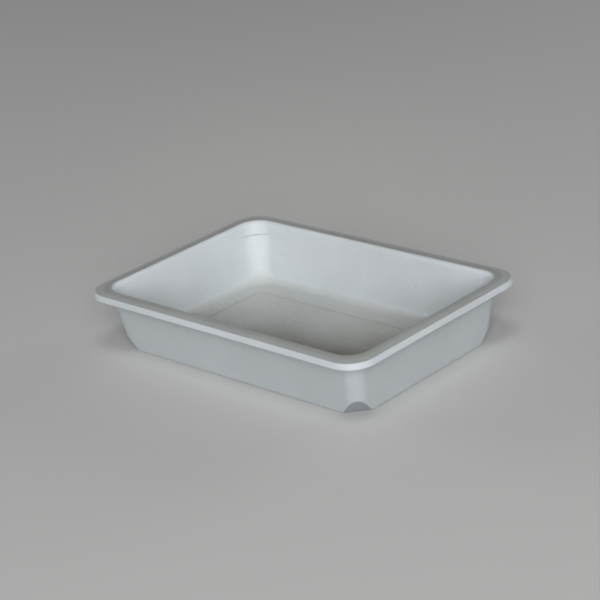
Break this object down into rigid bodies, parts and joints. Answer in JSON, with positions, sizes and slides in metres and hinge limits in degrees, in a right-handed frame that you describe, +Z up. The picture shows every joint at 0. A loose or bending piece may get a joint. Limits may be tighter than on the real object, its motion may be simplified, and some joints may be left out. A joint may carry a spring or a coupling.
{
  "type": "developing tray",
  "caption": "Rectangular one-piece plastic tray with tapered walls, a turned-down rim, faceted lower corners and a shallow floor panel, for processing photographic prints.",
  "frame": {"origin": "centre of the underside, on the surface that the tray stands on", "axes": "+X along the long side, +Y along the short side, +Z up from the underside to the rim"},
  "size_m": [0.3048, 0.2092, 0.0558],
  "materials": {
    "tray_plastic": "semi-gloss, white with a faint cool cast"
  },
  "bodies": {
    "root": {"tray_body": "tray_plastic"}
  },
  "joints": []
}
